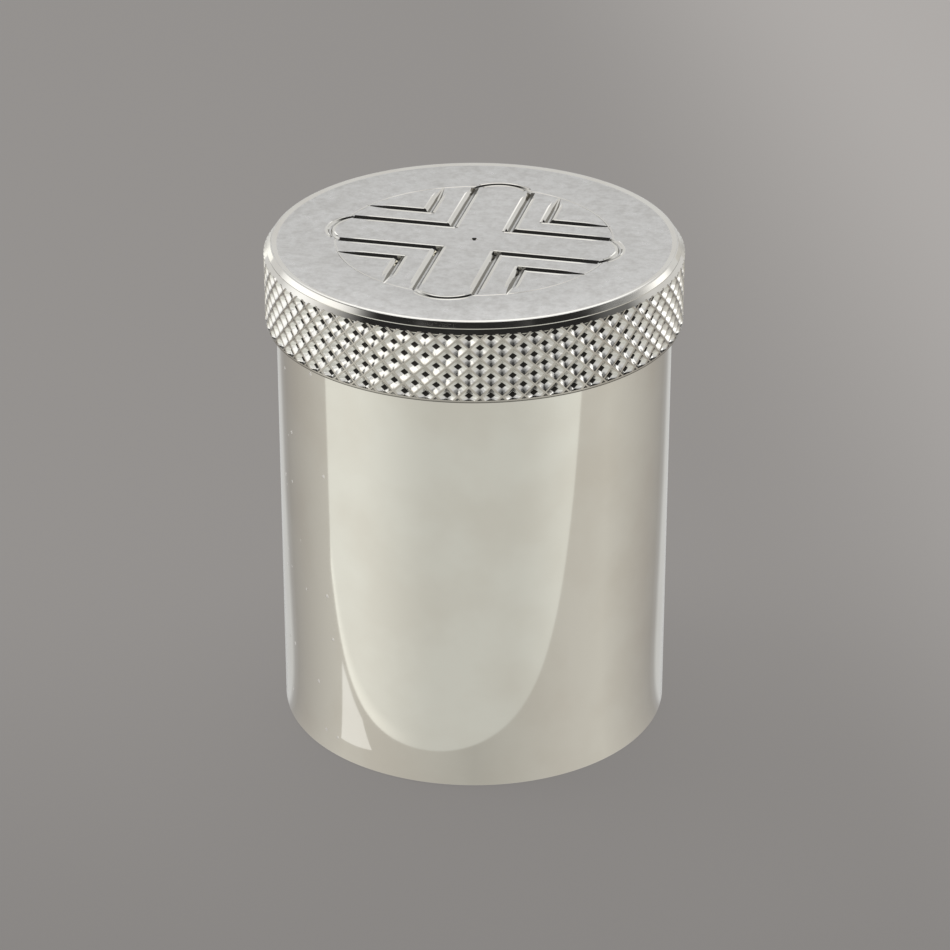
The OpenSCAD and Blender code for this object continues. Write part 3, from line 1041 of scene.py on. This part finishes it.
def light_world(colours, turn):
    """A pale room with bright sides and backdrop, and a dark ceiling over the camera."""
    world = bpy.data.worlds.new("studio")
    bpy.context.scene.world = world
    world.use_nodes = True
    graph = NodeGraph(world.node_tree)
    x, y, z = graph.parts(graph.add("ShaderNodeTexCoord").outputs["Generated"], turn)
    aside = graph.math("ABSOLUTE", x)
    skyline = graph.product(graph.remap(z, 0.16, 0.27, 0.6, 0.0), graph.remap(aside, 0.14, 0.2, 1.0, 0.0))
    ends = graph.math("ADD", graph.remap(z, 0.78, 0.92, 0.0, 0.5), skyline)
    back = graph.product(graph.remap(y, 0.0, 0.4, 0.03, 1.0), graph.math("ADD", ends, 0.75))
    brow = graph.math("ADD", z, graph.remap(aside, 0.4, 0.75, 0.0, 0.25))
    low_front = graph.product(graph.remap(brow, 0.58, 0.68, 1.0, 0.0), graph.remap(y, -0.45, -0.2, 1.0, 0.0),
                              graph.remap(z, 0.3, 0.42, 0.75, 0.3))
    left = graph.product(graph.remap(x, -0.65, -0.9, 0.0, 1.4), graph.remap(y, -0.4, -0.2, 0.4, 1.0),
                         graph.remap(z, 0.4, 0.65, 1.0, 0.45))
    window = graph.math("ADD", z, graph.product(y, 0.35))
    right = graph.product(graph.remap(x, 0.6, 0.92, 0.0, 1.0), graph.remap(window, 0.36, 0.44, 1.9, 0.2),
                          graph.remap(y, -0.35, -0.1, 0.3, 1.0))
    sides = graph.product(graph.math("ADD", left, right), graph.remap(z, 0.6, 0.8, 1.0, 0.0))
    above = graph.math("MAXIMUM", low_front, graph.remap(z, 0.93, 0.97, 0.0, 1.1))
    tone = graph.math("MAXIMUM", graph.math("MAXIMUM", back, above), sides)
    ray = graph.add("ShaderNodeLightPath").outputs
    room, even, shown = (
        graph.add("ShaderNodeBackground", {"Color": opaque(tint), "Strength": strength}).outputs["Background"]
        for tint, strength in (((1, 1, 1), graph.product(tone, second_look(graph, ray))), ((1, 1, 1), 0.6),
                               (colours.floor, 1.0)))
    light = graph.blend(ray["Is Glossy Ray"], even, room)
    graph.add("ShaderNodeOutputWorld", {"Surface": graph.blend(ray["Is Camera Ray"], light, shown)})


# Heights of the floor and of the two cards that lie on it.
FLOOR_HEIGHT, CARD_HEIGHT, CORNER_HEIGHT = -0.01 * MM, 0.05 * MM, 0.06 * MM
# Corners, in millimetres from the axis, of a scrap of card beside the left end of the bounce card.
CORNER_CARD = ((-20.1, -9.9), (-17.3, -11.0), (-12.5, -12.3), (-8.9, -12.2), (-11.3, -9.7))
# Brightness of that scrap and of the white strip.
CORNER_GLOW, STRIP_GLOW = 0.93, 1.6


class OILSTOCK_OT_stage(bpy.types.Operator):
    """Set the floor, the lights and the camera"""

    bl_idname = "oil_stock.stage"
    bl_label = "Stage"

    def execute(self, context):
        scene = context.scene
        stage = scene.oil_stock_stage
        colours = scene.oil_stock_colours
        turn = stage.camera_turn
        scene.view_settings.view_transform = "Standard"
        add_camera(stage)
        reach = stage.floor_reach
        plain_sheet("floor", [(x * reach, y * reach, FLOOR_HEIGHT)
                              for x, y in ((-1, -1), (1, -1), (1, 1), (-1, 1))],
                    0.0, floor_material(colours, turn))
        near, side = -stage.card_gap, stage.card_length / 2
        left = near - (side - stage.card_bend_place) * math.tan(stage.card_bend)
        outline = ((-side, near - 2 * side), (side, near - 2 * side), (side, near),
                   (-stage.card_bend_place, near), (-side, left))
        mirrored_card("bounce_card", [(x, y, CARD_HEIGHT) for x, y in outline], stage.card_turn,
                      card_material(colours, turn, stage.card_turn, stage.card_gap))
        mirrored_card("corner_card", [(x * MM, y * MM, CORNER_HEIGHT) for x, y in CORNER_CARD], turn,
                      glowing("stage_corner", CORNER_GLOW))
        start, end = -stage.strip_end - stage.strip_length, -stage.strip_end
        low, high = stage.strip_low, stage.strip_high
        mirrored_card("front_strip", [(x, -stage.strip_gap, z)
                                      for x, z in ((start, low), (end, low), (end, high), (start, high))],
                      turn, glowing("stage_strip", STRIP_GLOW))
        add_panel_light("top_light", stage.top_power, *TOP_LIGHT)
        add_panel_light("side_light", stage.side_power, *SIDE_LIGHT)
        light_world(colours, turn)
        return {"FINISHED"}


PIECES = (OILSTOCK_OT_body_tube, OILSTOCK_OT_base_disc, OILSTOCK_OT_neck_collar, OILSTOCK_OT_oil_cup,
          OILSTOCK_OT_cotton_wad, OILSTOCK_OT_sealing_disc, OILSTOCK_OT_screw_cap, OILSTOCK_OT_stage)
GROUPS = {"oil_stock_sizes": OilStockSizes, "oil_stock_colours": OilStockColours,
          "oil_stock_stage": OilStockStage}


class OILSTOCK_PT_panel(bpy.types.Panel):
    """Sizes, colours and build steps of the oil stock"""

    bl_idname = "OILSTOCK_PT_panel"
    bl_label = "Oil Stock"
    bl_space_type = "VIEW_3D"
    bl_region_type = "UI"
    bl_category = "Oil Stock"

    def draw(self, context):
        for piece in PIECES:
            self.layout.operator(piece.bl_idname)
        for name, group in GROUPS.items():
            column = self.layout.column(align=True)
            for field in group.__annotations__:
                column.prop(getattr(context.scene, name), field)


def register():
    """Registers the classes and hangs the property groups on the scene."""
    for group in GROUPS.values():
        bpy.utils.register_class(group)
    for item in (*PIECES, OILSTOCK_PT_panel):
        bpy.utils.register_class(item)
    for name, group in GROUPS.items():
        setattr(bpy.types.Scene, name, bpy.props.PointerProperty(type=group))


def unregister():
    """Takes the groups off the scene and unregisters the classes."""
    for name in GROUPS:
        delattr(bpy.types.Scene, name)
    for item in (OILSTOCK_PT_panel, *reversed(PIECES), *reversed(tuple(GROUPS.values()))):
        bpy.utils.unregister_class(item)


def main():
    register()
    bpy.ops.oil_stock.body_tube()
    bpy.ops.oil_stock.base_disc()
    bpy.ops.oil_stock.neck_collar()
    bpy.ops.oil_stock.oil_cup()
    bpy.ops.oil_stock.cotton_wad()
    bpy.ops.oil_stock.sealing_disc()
    bpy.ops.oil_stock.screw_cap()
    bpy.ops.oil_stock.stage()


if __name__ == "__main__":
    main()
